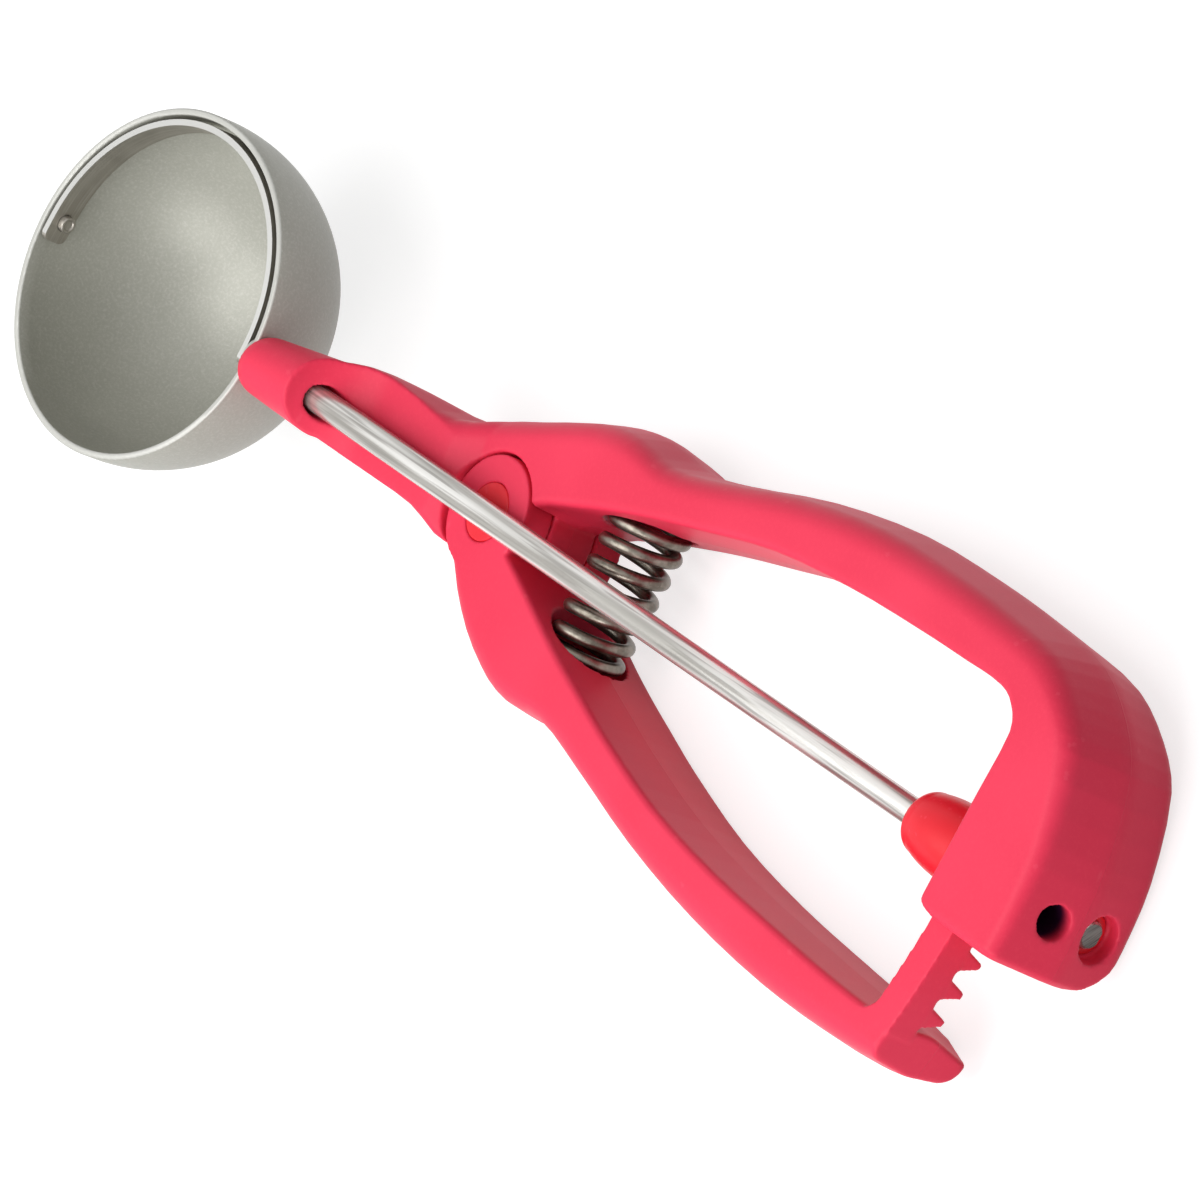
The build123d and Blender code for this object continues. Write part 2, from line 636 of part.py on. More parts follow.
# Lower handle: two eye plates, grip and the rack arm that drives the pinion
tooth_turn = 360 / pinion_teeth * pitch_radius / arm_middle
rack_start = bowl_centre + shaft_dir * teeth_front
tooth_length = teeth_back - teeth_front
flank_slope = (rack_root_width - rack_tip_width) / (rack_root_height - rack_tip_height)
tooth_overrun = rack_relief + arm_width * math.tan(slope)
tooth_top = rack_root_height + tooth_overrun
tooth_top_width = rack_root_width + flank_slope * tooth_overrun
arm_corners = arm_sector(arm_inner_radius, arm_outer_radius, -arm_root, arm_reach)
corner_low = -tip_inner - 2 * inner_lean
corner_top = corner_low + arm_corner_rounding
corner_back = math.sqrt(arm_inner_radius**2 - corner_top**2)
corner_front = corner_back - arm_corner_rounding
with BuildPart() as lower_handle:
    for number in range(rack_teeth):
        turn = tooth_turn * (0.5 - number)
        across = Vector(0, 1, 0).rotate(Axis.Z, turn)
        along = shaft_dir.rotate(Axis.Z, turn)
        with BuildSketch(Plane(origin=rack_start.rotate(Axis.Z, turn), x_dir=across, z_dir=along)):
            with BuildLine():
                Polyline(
                    (-rack_tip_width / 2, rack_tip_height),
                    (rack_tip_width / 2, rack_tip_height),
                    (tooth_top_width / 2, tooth_top),
                    (-tooth_top_width / 2, tooth_top),
                    close=True,
                )
            make_face()
        extrude(amount=tooth_length)
    with BuildSketch(Plane.XY):
        Circle(arm_outer_radius - tooth_inset)
        Circle(arm_inner_radius + tooth_inset, mode=Mode.SUBTRACT)
    extrude(amount=handle_depth, mode=Mode.INTERSECT)
    with BuildSketch(Plane.XY.offset(arm_low)):
        with BuildLine():
            Line(arm_corners[0], arm_corners[1])
            RadiusArc(arm_corners[1], arm_corners[2], -arm_outer_radius)
            Polyline(arm_corners[2], arm_corners[3])
            RadiusArc(arm_corners[3], (corner_back, corner_top), arm_inner_radius)
            RadiusArc((corner_back, corner_top), (corner_front, corner_low), arm_corner_rounding)
            Polyline((corner_front, corner_low), (corner_front, -arm_root), arm_corners[0])
        make_face()
    extrude(amount=arm_thickness)
    for row in blended(lower_rows, blend_steps):
        add(handle_section(*row))
    add(handle_section(*lower_end))
    loft(ruled=True)
    with BuildSketch(Plane.XY):
        Circle(eye_radius)
    extrude(amount=handle_depth)
    with BuildSketch(Plane.XY.offset(eye_plate)):
        Circle(recess_radius)
    extrude(amount=handle_depth - 2 * eye_plate, mode=Mode.SUBTRACT)
    with BuildSketch(Plane.XY):
        Circle(pivot_dia / 2 + running_gap)
    extrude(amount=handle_depth, mode=Mode.SUBTRACT)
    with BuildSketch(spring_plane):
        Circle(pocket_radius)
    extrude(amount=-pocket_reach, mode=Mode.SUBTRACT)
lower_handle.part.label = "lower_handle"
export_step(lower_handle.part, "parts/lower_handle.step")

# Pivot pin: pressed into the tongue, it carries the lower handle's two eyes
with BuildPart() as pivot_pin:
    with BuildSketch(Plane.XY):
        Circle(pivot_dia / 2)
    extrude(amount=handle_depth)
    chamfer(pivot_pin.edges(), shaft_end_chamfer)
pivot_pin.part.label = "pivot_pin"
export_step(pivot_pin.part, "parts/pivot_pin.step")

# Pinion: nose, collar, teeth and rear journal in one moulding on the shaft's flat
nose_radius = nose_front_dia / 2
collar_radius = collar_dia / 2
journal_radius = journal_dia / 2
bore_radius = shaft_radius + drive_gap
bore_flat = flat_level + drive_gap
with BuildPart() as pinion:
    with BuildSketch(side_plane):
        with BuildLine():
            Polyline((nose_front, nose_radius - nose_rounding), (nose_front, 0), (journal_end, 0))
            Polyline(
                (journal_end, 0),
                (journal_end, journal_radius),
                (teeth_back, journal_radius),
                (teeth_back, pinion_root_radius),
                (collar_back, pinion_root_radius),
                (collar_back, collar_radius),
                (collar_front, collar_radius),
            )
            Spline(
                (collar_front, collar_radius),
                (nose_front + nose_rounding, nose_radius),
                tangents=((-1, 0), (-1, -0.3)),
            )
            RadiusArc(
                (nose_front + nose_rounding, nose_radius),
                (nose_front, nose_radius - nose_rounding),
                -nose_rounding,
            )
        make_face()
    revolve(axis=shaft_axis)
    with BuildSketch(across_shaft(teeth_front)):
        with PolarLocations(0, pinion_teeth, start_angle=90):
            tooth = []
            for radius, angle in (
                (pinion_root_radius - bowl_wall / 2, tooth_root_angle),
                (pinion_root_radius, tooth_root_angle),
                (pitch_radius, tooth_pitch_angle),
                (pinion_tip_radius, tooth_tip_angle),
            ):
                tooth.append((radius * math.cos(math.radians(angle)), radius * math.sin(math.radians(angle))))
            mirrored = [(x, -y) for x, y in reversed(tooth)]
            Polygon(*tooth, *mirrored, align=None)
    extrude(amount=tooth_length)
    with BuildSketch(across_shaft(nose_front)):
        Circle(bore_radius)
    extrude(amount=collar_front - nose_front, mode=Mode.SUBTRACT)
    with BuildSketch(across_shaft(collar_front)):
        Circle(bore_radius)
        with Locations((0, -bore_flat - shaft_radius)):
            Rectangle(shaft_dia, shaft_dia, mode=Mode.SUBTRACT)
    extrude(amount=journal_end - collar_front, mode=Mode.SUBTRACT)
pinion.part.label = "pinion"
export_step(pinion.part, "parts/pinion.step")

# Return spring: a wound wire between the two pockets, each quarter turn on two arcs
spring_radius = (spring_dia - spring_wire) / 2
spring_rise = spring_length - spring_wire
ramp_turns = 0.5
end_rise = spring_end_pitch * (2 * spring_end_turns + ramp_turns)
spring_pitch = (spring_rise - end_rise) / (spring_turns - 2 * spring_end_turns - ramp_turns)
quarters = round(4 * spring_turns)


def pitch_at(turns):
    """Rise of the wire per turn, close at both ends and open between."""
    from_end = min(turns, spring_turns - turns) - spring_end_turns
    share = min(max(from_end / ramp_turns, 0.0), 1.0)
    return spring_end_pitch + share * (spring_pitch - spring_end_pitch)


places = []
tangents = []
height = -spring_rise / 2
for quarter in range(quarters + 1):
    turns = quarter / 4
    angle = 2 * math.pi * turns + math.radians(spring_start_angle)
    places.append(
        Vector(
            spring_place + spring_radius * math.sin(angle),
            height,
            spring_level + spring_radius * math.cos(angle),
        )
    )
    rise = pitch_at(turns) / (2 * math.pi * spring_radius)
    tangents.append(Vector(math.cos(angle), rise, -math.sin(angle)).normalized())
    height += (pitch_at(turns) + pitch_at(turns + 0.25)) / 8
with BuildPart() as return_spring:
    with BuildLine() as spring_path:
        for start, end, leave, reach in zip(places, places[1:], tangents, tangents[1:]):
            span = end - start
            both = leave + reach
            spread = 2 * (1 - leave.dot(reach))
            handle = (-span.dot(both) + math.sqrt(span.dot(both) ** 2 + spread * span.dot(span))) / spread
            middle = (start + end + (leave - reach) * handle) / 2
            TangentArc(start, middle, tangent=leave)
            TangentArc(middle, end, tangent=(end - reach * handle) - (start + leave * handle))
    with BuildSketch(Plane(origin=places[0], z_dir=tangents[0])):
        Circle(spring_wire / 2)
    sweep(path=spring_path.wires()[0])
return_spring.part.label = "return_spring"
export_step(return_spring.part, "parts/return_spring.step")

# Least gap between the spring's turns, measured on points of the wire's middle line
wire_line = spring_path.wires()[0]
samples = [wire_line.position_at(number / 400) for number in range(401)]
half_turn = round(400 / spring_turns / 2)
least_gap = min(
    (samples[first] - samples[second]).length - spring_wire
    for first in range(401)
    for second in range(first + half_turn, 401)
)
print("spring: least gap between turns", round(least_gap, 2), "mm, pitch", round(spring_pitch, 2), "mm")
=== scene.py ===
import math

import bpy
from mathutils import Matrix, Vector


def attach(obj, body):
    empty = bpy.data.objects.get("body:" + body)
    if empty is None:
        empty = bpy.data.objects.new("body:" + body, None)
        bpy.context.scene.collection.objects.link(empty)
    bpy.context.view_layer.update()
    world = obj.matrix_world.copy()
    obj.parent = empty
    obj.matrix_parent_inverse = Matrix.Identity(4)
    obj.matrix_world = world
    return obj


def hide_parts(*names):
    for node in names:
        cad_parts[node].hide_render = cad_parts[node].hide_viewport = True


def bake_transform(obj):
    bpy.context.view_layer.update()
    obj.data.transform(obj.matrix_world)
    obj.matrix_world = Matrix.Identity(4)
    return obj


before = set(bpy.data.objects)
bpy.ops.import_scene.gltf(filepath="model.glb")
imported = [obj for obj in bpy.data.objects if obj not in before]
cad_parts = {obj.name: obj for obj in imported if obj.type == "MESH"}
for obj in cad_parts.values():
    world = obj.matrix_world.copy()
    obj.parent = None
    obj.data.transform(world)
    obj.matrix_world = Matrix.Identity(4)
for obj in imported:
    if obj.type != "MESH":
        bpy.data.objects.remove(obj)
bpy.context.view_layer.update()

# Sizes of the tool, in metres and radians, as in the part's source
SHAFT_SLOPE = math.radians(6.3)
SHAFT_HEIGHT = 0.0217
SHAFT_DIR = Vector((math.cos(SHAFT_SLOPE), 0, -math.sin(SHAFT_SLOPE)))
SHAFT_END = 0.13880
MOUTH_DIR = Vector((math.sin(SHAFT_SLOPE), 0, math.cos(SHAFT_SLOPE)))
BOWL_REACH = 0.0757
BOWL_CENTRE = Vector((0, 0, SHAFT_HEIGHT)) - SHAFT_DIR * BOWL_REACH
RIM_HEIGHT = 0.0026
WIPER_TOP = 0.0025
HANDLE_DEPTH = 0.0185
BLOCK_RISE = 0.003
BLOCK_FRONT = 0.1192
PIN_RADIUS = 0.0043
HANG_HOLE_RADIUS = 0.0025
HANG_HOLE_HEIGHT = 0.0148
HANG_HOLE_MOUTH = 0.1403
HANG_HOLE_DEPTH = 0.0115
HANG_HOLE_END = HANG_HOLE_MOUTH - HANG_HOLE_DEPTH
END_PIN_RADIUS = 0.00125
END_PIN_FOOT = -0.026
END_PIN_TIP = -0.0225
SPRING_PLACE = Vector((0.0222, 0, 0.00925))
SPRING_RADIUS = 0.005025
SPRING_WIRE = 0.00195
SPRING_RISE = 0.02265
SPRING_TURNS = 7.25
SPRING_END_TURNS = 1.0
SPRING_RAMP_TURNS = 0.5
SPRING_END_PITCH = 0.00245
SPRING_START = math.radians(210)

# Fineness of the meshes
MERGE_REACH = 2e-6
SMOOTH_ROUNDS = 4
WIRE_SIDES = 20
SPRING_STEPS = 312

# Where a mark on a surface starts and where it is full, in metres
SEAM_FADE = (0.00004, 0.00018)
HOLE_WALL_FADE = (HANG_HOLE_RADIUS + 0.00002, HANG_HOLE_RADIUS + 0.00025)
HOLE_MOUTH_FADE = (HANG_HOLE_MOUTH - 0.0032, HANG_HOLE_MOUTH - 0.0006)
HOLE_END_FADE = (HANG_HOLE_END - 0.0004, HANG_HOLE_END - 0.0002)
RIM_FADE = (RIM_HEIGHT - 0.00030, RIM_HEIGHT - 0.00012)
WIPER_EDGE_FADE = (WIPER_TOP - 0.00012, WIPER_TOP - 0.00004)
SAW_CUT_FADE = (SHAFT_END - 0.00006, SHAFT_END - 0.00002)

# Spread of a noise's values, and of the sharpness of hollows and edges about one half
NOISE_SPREAD = (0.3, 0.7)
HOLLOW_SPREAD = (0.006, 0.05)
EDGE_SPREAD = (0.03, 0.14)

# Turns that set streaks along the shaft or across its sawn end, and their stretch on each axis
ALONG_SHAFT = (0, -SHAFT_SLOPE, 0)
ACROSS_CUT = (math.radians(40), 0, 0)
WIPER_STRETCH = (70, 70, 2600)
ROD_STRETCH = (16, 560, 560)
SAW_STRETCH = (40, 160, 3600)

# Colours of the finishes, as linear red, green, blue and cover
HANDLE_RED = (0.80, 0.034, 0.085, 1)
HANDLE_RED_LIGHT = (0.85, 0.043, 0.100, 1)
HANDLE_SPECK = (0.88, 0.056, 0.110, 1)
# Painted highlight: a lighter red on the handles' outer edges
HANDLE_EDGE_HIGHLIGHT = (0.90, 0.090, 0.150, 1)
# Painted shade: a deeper red for the shade in the handles' recesses
HANDLE_HOLLOW_SHADE = (0.66, 0.010, 0.026, 1)
# Painted shade: near-black for the shade inside the hang hole
HANG_HOLE_PAINTED_SHADE = (0.030, 0.004, 0.028, 1)
PIN_RED = (0.78, 0.014, 0.028, 1)
PIN_RED_LIGHT = (0.84, 0.022, 0.042, 1)
# Painted highlight: a lighter red on the pins' outer edges
PIN_EDGE_HIGHLIGHT = (0.88, 0.06, 0.10, 1)
BOWL_GREY = (0.395, 0.395, 0.348, 1)
BOWL_GREY_LIGHT = (0.440, 0.440, 0.390, 1)
# Lighter grain specks: the blasted grain, with its bright specks as painted glints
BOWL_GRAIN_GLINT = (0.60, 0.60, 0.555, 1)
# Ground rim's colour, made lighter as a painted highlight
BOWL_RIM_POLISH_AND_HIGHLIGHT = (0.58, 0.58, 0.55, 1)
WIPER_GREY = (0.335, 0.312, 0.274, 1)
WIPER_GREY_LIGHT = (0.430, 0.408, 0.364, 1)
WIPER_STREAK = (0.56, 0.54, 0.50, 1)
# Sheared edge's colour, made lighter as a painted highlight
WIPER_EDGE_SHEAR_AND_HIGHLIGHT = (0.56, 0.56, 0.54, 1)
ROD_GREY = (0.44, 0.427, 0.395, 1)
# Bright bands along the rod: ground streaks, lightened as painted reflections
ROD_REFLECTION_BAND = (0.82, 0.81, 0.78, 1)
ROD_LINE = (0.27, 0.256, 0.235, 1)
SAWN_DARK = (0.030, 0.028, 0.025, 1)
SAWN_LIGHT = (0.17, 0.163, 0.152, 1)
WIRE_DARK = (0.135, 0.118, 0.096, 1)
WIRE_BROWN = (0.270, 0.245, 0.208, 1)
WIRE_BRIGHT = (0.40, 0.37, 0.325, 1)
FLOOR_GREY = (0.42, 0.42, 0.42, 1)
WHITE = (1, 1, 1, 1)

# Light of the studio
FLOOR_GLOW = 0.74
FILL_LIGHT = 0.34
LAMP_AIM = (0.02, 0, 0.01)

# Sockets of the Mix node's colours, which share their names with its numbers
MIX_LOW = 6
MIX_HIGH = 7
MIX_RESULT = 2


def deselect():
    """Nothing selected, in object mode."""
    if bpy.context.object and bpy.context.object.mode != "OBJECT":
        bpy.ops.object.mode_set(mode="OBJECT")
    bpy.ops.object.select_all(action="DESELECT")


def take(obj):
    """Only this object selected and active."""
    deselect()
    obj.select_set(True)
    bpy.context.view_layer.objects.active = obj


def edit_all(obj, mode="VERT"):
    """Edit mode on this object with all of it selected."""
    take(obj)
    bpy.ops.object.mode_set(mode="EDIT")
    bpy.ops.mesh.select_mode(type=mode)
    bpy.ops.mesh.select_all(action="SELECT")


def edit_faces(obj, keep):
    """Edit mode on this object with only the faces that keep() names selected."""
    edit_all(obj, "FACE")
    bpy.ops.mesh.select_all(action="DESELECT")
    bpy.ops.object.mode_set(mode="OBJECT")
    for face in obj.data.polygons:
        face.select = keep(face)
    bpy.ops.object.mode_set(mode="EDIT")


def apply_modifier(obj, kind, **settings):
    """One modifier added with these settings and applied."""
    take(obj)
    modifier = obj.modifiers.new(kind.lower(), kind)
    for key, value in settings.items():
        setattr(modifier, key, value)
    bpy.ops.object.modifier_apply(modifier=modifier.name)


def round_edges(obj, width, segments, angle):
    """Edges that turn by more than this angle, in radians, rounded."""
    apply_modifier(obj, "BEVEL", width=width, segments=segments, limit_method="ANGLE", angle_limit=angle)


def smooth(obj, degrees):
    """Smooth shading up to this angle between faces."""
    take(obj)
    bpy.ops.object.shade_smooth_by_angle(angle=math.radians(degrees))


def place_mesh(obj, matrix):
    """The object's mesh set into the tool's frame, its object left at the origin."""
    take(obj)
    obj.matrix_world = matrix @ obj.matrix_world
    bpy.ops.object.transform_apply(location=True, rotation=True, scale=True)


def merged_copy(node, name):
    """A copy of a CAD node's mesh with its loose triangles merged."""
    obj = bpy.data.objects.new(name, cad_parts[node].data.copy())
    bpy.context.scene.collection.objects.link(obj)
    obj.data.materials.clear()
    take(obj)
    bpy.ops.mesh.customdata_custom_splitnormals_clear()
    edit_all(obj)
    bpy.ops.mesh.remove_doubles(threshold=MERGE_REACH)
    bpy.ops.object.mode_set(mode="OBJECT")
    return obj


def moulded_copy(node, name, voxel, share):
    """A copy of a CAD node with a moulding's small even edge radius, thinned to a share of its faces."""
    obj = merged_copy(node, name)
    apply_modifier(obj, "REMESH", mode="VOXEL", voxel_size=voxel, adaptivity=0.0)
    apply_modifier(obj, "SMOOTH", factor=0.5, iterations=SMOOTH_ROUNDS)
    apply_modifier(obj, "DECIMATE", ratio=share)
    take(obj)
    bpy.ops.object.shade_smooth()
    return obj


class Tone:
    """A node's socket that sums like a number: each operator adds one Math node."""

    def __init__(self, nodes, socket):
        self.nodes = nodes
        self.socket = socket

    def math(self, operation, first, second=0.0):
        return self.nodes.add("ShaderNodeMath", {"operation": operation}, {0: first, 1: second})

    def __add__(self, other):
        return self.math("ADD", self, other)

    def __radd__(self, other):
        return self.math("ADD", other, self)

    def __sub__(self, other):
        return self.math("SUBTRACT", self, other)

    def __rsub__(self, other):
        return self.math("SUBTRACT", other, self)

    def __mul__(self, other):
        return self.math("MULTIPLY", self, other)

    def __rmul__(self, other):
        return self.math("MULTIPLY", other, self)

    def __abs__(self):
        return self.math("ABSOLUTE", self)

    def root(self):
        return self.math("SQRT", self)

    def at_least(self, other):
        return self.math("MAXIMUM", self, other)

    def between(self, low, high, start=0.0, end=1.0):
        """From start at low to end at high, and level beyond them."""
        return self.nodes.add(
            "ShaderNodeMapRange",
            {"interpolation_type": "SMOOTHSTEP"},
            {"Value": self, "From Min": low, "From Max": high, "To Min": start, "To Max": end},
        )


class Nodes:
    """The nodes of a material or of the world."""

    def __init__(self, tree):
        self.tree = tree

    def feed(self, node, inputs):
        """Values or links for a node's sockets."""
        for key, value in inputs.items():
            socket = node.inputs[key]
            if isinstance(value, Tone):
                self.tree.links.new(value.socket, socket)
            else:
                socket.default_value = value

    def add(self, kind, settings, inputs, output=0):
        """One node of this type: its settings first, then the values or links of its sockets."""
        node = self.tree.nodes.new(kind)
        for key, value in settings.items():
            setattr(node, key, value)
        self.feed(node, inputs)
        return Tone(self, node.outputs[output])

    def seen(self):
        """One to the camera, in reflections and through glass, and nought to light on the object."""
        camera, glossy, through = [
            self.add("ShaderNodeLightPath", {}, {}, ray)
            for ray in ("Is Camera Ray", "Is Glossy Ray", "Is Transmission Ray")
        ]
        return camera.at_least(glossy).at_least(through)


class Paint(Nodes):
    """A procedural material on Object coordinates."""

    def __init__(self, name, **constants):
        self.material = bpy.data.materials.new(name)
        self.material.use_nodes = True
        super().__init__(self.material.node_tree)
        self.shader = self.tree.nodes["Principled BSDF"]
        self.feed(self.shader, constants)
        self.place = self.add("ShaderNodeTexCoord", {}, {}, "Object")

    def axes(self):
        """The X, Y and Z of the surface point."""
        return [self.add("ShaderNodeSeparateXYZ", {}, {"Vector": self.place}, axis) for axis in "XYZ"]

    def sharpness(self):
        """Over one half on an outer edge and under it in a hollow."""
        return self.add("ShaderNodeNewGeometry", {}, {}, "Pointiness")

    def stretched(self, turn, scale):
        """Coordinates turned into line with the streaks, then stretched."""
        point = {"vector_type": "POINT"}
        straight = self.add("ShaderNodeMapping", point, {"Vector": self.place, "Rotation": turn})
        return self.add("ShaderNodeMapping", point, {"Vector": straight, "Scale": scale})

    def noise(self, scale, detail=2.0, rough=0.5, place=None):
        """Noise with this many lumps to a metre, or to a unit of the place given."""
        return self.add(
            "ShaderNodeTexNoise",
            {"noise_dimensions": "3D"},
            {"Vector": place or self.place, "Scale": scale, "Detail": detail, "Roughness": rough},
        )

    def mix(self, share, low, high):
        """The low colour, with this share of the high one."""
        return self.add(
            "ShaderNodeMix",
            {"data_type": "RGBA"},
            {"Factor": share, MIX_LOW: low, MIX_HIGH: high},
            MIX_RESULT,
        )

    def finish(self, colour, roughness, height, strength, distance):
        """The shader fed with what changes over the surface, its relief as a bump."""
        relief = self.add(
            "ShaderNodeBump", {}, {"Strength": strength, "Distance": distance, "Height": height}
        )
        self.feed(self.shader, {"Base Color": colour, "Roughness": roughness, "Normal": relief})
        return self.material


def handle_plastic(name, seam_slope):
    """Satin moulded plastic with a fine grain and a faint parting line, with painted shade in its recesses
    and inside the hang hole, and a painted highlight on its outer edges.
    """
    paint = Paint(name, **{"IOR": 1.46, "Specular IOR Level": 0.26})
    x, y, z = paint.axes()
    drift = paint.noise(scale=38)
    grain = paint.noise(scale=4200, rough=0.6)
    speck = paint.noise(scale=1500, detail=3.0, rough=0.7)
    sharpness = paint.sharpness()
    # Painted shade: the hollows' mask darkens the red where shade falls in recesses
    hollow = (0.5 - sharpness).between(*HOLLOW_SPREAD)
    # Painted highlight on the outer edges
    ridge = (sharpness - 0.5).between(*EDGE_SPREAD)
    base = paint.mix(drift.between(*NOISE_SPREAD), HANDLE_RED, HANDLE_RED_LIGHT)
    grainy = paint.mix(0.30 * speck.between(0.45, 0.75), base, HANDLE_SPECK)
    edge_highlighted = paint.mix(0.30 * ridge, grainy, HANDLE_EDGE_HIGHLIGHT)
    colour = paint.mix(0.80 * hollow, edge_highlighted, HANDLE_HOLLOW_SHADE)
    # Painted shade inside the hang hole, from its mouth in to near its end
    over_hole = z - HANG_HOLE_HEIGHT
    off_axis = (y * y + over_hole * over_hole).root()
    inside = 1 - off_axis.between(*HOLE_WALL_FADE)
    below_mouth = 1 - x.between(*HOLE_MOUTH_FADE)
    hole_shade = inside * below_mouth * x.between(*HOLE_END_FADE)
    shaded = paint.mix(hole_shade, colour, HANG_HOLE_PAINTED_SHADE)
    seam_height = 0.5 * HANDLE_DEPTH + 0.5 * seam_slope * x.at_least(0.0)
    seam = 1 - abs(z - seam_height).between(*SEAM_FADE)
    roughness = 0.40 + 0.10 * grain + 0.05 * drift
    height = 0.5 * grain + 0.25 * speck + 1.6 * seam
    return paint.finish(shaded, roughness, height, strength=0.35, distance=0.00006)


def pin_plastic(name):
    """Brighter, glossier red of the pivot pin and the pinion, with a painted highlight on their outer edges.
    """
    paint = Paint(name, **{"IOR": 1.46, "Specular IOR Level": 0.34})
    drift = paint.noise(scale=120)
    grain = paint.noise(scale=3600, rough=0.6)
    # Painted highlight on the pins' outer edges
    ridge = (paint.sharpness() - 0.5).between(*EDGE_SPREAD)
    base = paint.mix(drift.between(*NOISE_SPREAD), PIN_RED, PIN_RED_LIGHT)
    colour = paint.mix(0.4 * ridge, base, PIN_EDGE_HIGHLIGHT)
    roughness = 0.30 + 0.12 * grain
    return paint.finish(colour, roughness, grain, strength=0.25, distance=0.00004)


def mouth_height(paint):
    """Height of the surface point over the bowl's mouth."""
    x, _, z = paint.axes()
    return (x - BOWL_CENTRE.x) * MOUTH_DIR.x + (z - BOWL_CENTRE.z) * MOUTH_DIR.z


def blasted_steel(name):
    """Bead-blasted steel: an even grey with a fine grain whose bright specks are painted glints, and a
    smoother ground rim, lighter with a painted highlight.
    """
    paint = Paint(name, **{"Metallic": 0.18, "Specular IOR Level": 0.40})
    cloud = paint.noise(scale=45, detail=3.0)
    grain = paint.noise(scale=2400, detail=3.0, rough=0.7)
    coarse = paint.noise(scale=900, rough=0.6)
    # Rim band: smoother in roughness and lighter as a painted highlight
    rim = mouth_height(paint).between(*RIM_FADE)
    base = paint.mix(cloud.between(*NOISE_SPREAD), BOWL_GREY, BOWL_GREY_LIGHT)
    # Painted glints on the fine grain
    grainy = paint.mix(0.5 * grain.between(0.4, 0.8), base, BOWL_GRAIN_GLINT)
    colour = paint.mix(0.7 * rim, grainy, BOWL_RIM_POLISH_AND_HIGHLIGHT)
    roughness = 0.35 + 0.12 * coarse + 0.06 * cloud - 0.06 * rim
    height = grain + 0.5 * coarse
    return paint.finish(colour, roughness, height, strength=0.40, distance=0.00006)


def wiper_steel(name):
    """Rolled strip with faint streaks along it and a smoother sheared top edge, lighter with a painted
    highlight.
    """
    paint = Paint(name, Metallic=0.85)
    lengthwise = paint.stretched(ALONG_SHAFT, WIPER_STRETCH)
    streak = paint.noise(scale=1.0, detail=3.0, rough=0.6, place=lengthwise)
    cloud = paint.noise(scale=160)
    # Top edge band: smoother in roughness and lighter as a painted highlight
    edge = mouth_height(paint).between(*WIPER_EDGE_FADE)
    base = paint.mix(cloud.between(*NOISE_SPREAD), WIPER_GREY, WIPER_GREY_LIGHT)
    face = paint.mix(0.45 * streak.between(0.4, 0.7), base, WIPER_STREAK)
    colour = paint.mix(edge, face, WIPER_EDGE_SHEAR_AND_HIGHLIGHT)
    roughness = 0.36 + 0.12 * streak - 0.06 * edge
    return paint.finish(colour, roughness, streak, strength=0.14, distance=0.00003)


def shaft_steel(name):
    """Ground rod: streaks along it whose bright bands are painted reflections, and a cross-hatched saw cut
    on its rear end.
    """
    paint = Paint(name, Metallic=0.65)
    lengthwise = paint.stretched(ALONG_SHAFT, ROD_STRETCH)
    streak = paint.noise(scale=1.0, place=lengthwise)
    fine = paint.noise(scale=3.6, detail=1.0, place=lengthwise)
    hatch = paint.noise(scale=1.0, rough=0.6, place=paint.stretched(ACROSS_CUT, SAW_STRETCH))
    x, _, z = paint.axes()
    along = x * SHAFT_DIR.x + (z - SHAFT_HEIGHT) * SHAFT_DIR.z
    cut = along.between(*SAW_CUT_FADE)
    # Ground streaks along the rod, their bright bands a painted reflection
    rod = paint.mix(streak.between(0.36, 0.60), ROD_GREY, ROD_REFLECTION_BAND)
    ground = paint.mix(0.65 * fine.between(0.46, 0.66), rod, ROD_LINE)
    sawn = paint.mix(hatch.between(0.35, 0.65), SAWN_DARK, SAWN_LIGHT)
    colour = paint.mix(cut, ground, sawn)
    roughness = 0.19 + 0.10 * fine + 0.18 * cut
    height = (streak + 0.5 * fine) * (1 - cut) + 1.5 * hatch * cut
    return paint.finish(colour, roughness, height, strength=0.18, distance=0.00003)


def spring_wire_steel(name):
    """Dark drawn wire with a thin oily gloss and faint die marks."""
    paint = Paint(name, Metallic=1.0)
    cloud = paint.noise(scale=420, detail=3.0, rough=0.6)
    grain = paint.noise(scale=2600, rough=0.6)
    base = paint.mix(cloud.between(0.32, 0.68), WIRE_DARK, WIRE_BROWN)
    colour = paint.mix(0.3 * grain.between(0.5, 0.8), base, WIRE_BRIGHT)
    roughness = 0.27 + 0.16 * grain
    return paint.finish(colour, roughness, grain + cloud, strength=0.15, distance=0.00003)


upper_finish = handle_plastic("upper_handle_plastic", BLOCK_RISE / BLOCK_FRONT)
lower_finish = handle_plastic("lower_handle_plastic", 0.0)
pin_finish = pin_plastic("pin_plastic")
bowl_finish = blasted_steel("bowl_steel")
wiper_finish = wiper_steel("wiper_steel")
shaft_finish = shaft_steel("shaft_steel")
spring_finish = spring_wire_steel("spring_steel")


def dress(obj, finish, node, body=None):
    """Material in the piece's slot, the CAD node that this piece stands for hidden, and the piece attached
    to the body that carries it, if one does.
    """
    obj.data.materials.clear()
    obj.data.materials.append(finish)
    if body:
        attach(obj, body)
    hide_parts(node)


def make_mouldings():
    """Both handles and the pinion as soft-edged mouldings."""
    for node, name, finish, body, slot, voxel, share in (
        ("upper_handle", "bowl_handle", upper_finish, "frame", "handle_plastic", 0.00030, 0.45),
        ("lower_handle", "rack_handle", lower_finish, "lever", "handle_plastic", 0.00028, 0.55),
        ("pinion", "nose_pinion", pin_finish, "wiper_drive", "pin_plastic", 0.00016, 0.8),
    ):
        piece = moulded_copy(node, name, voxel, share)
        dress(piece, finish, node, body)


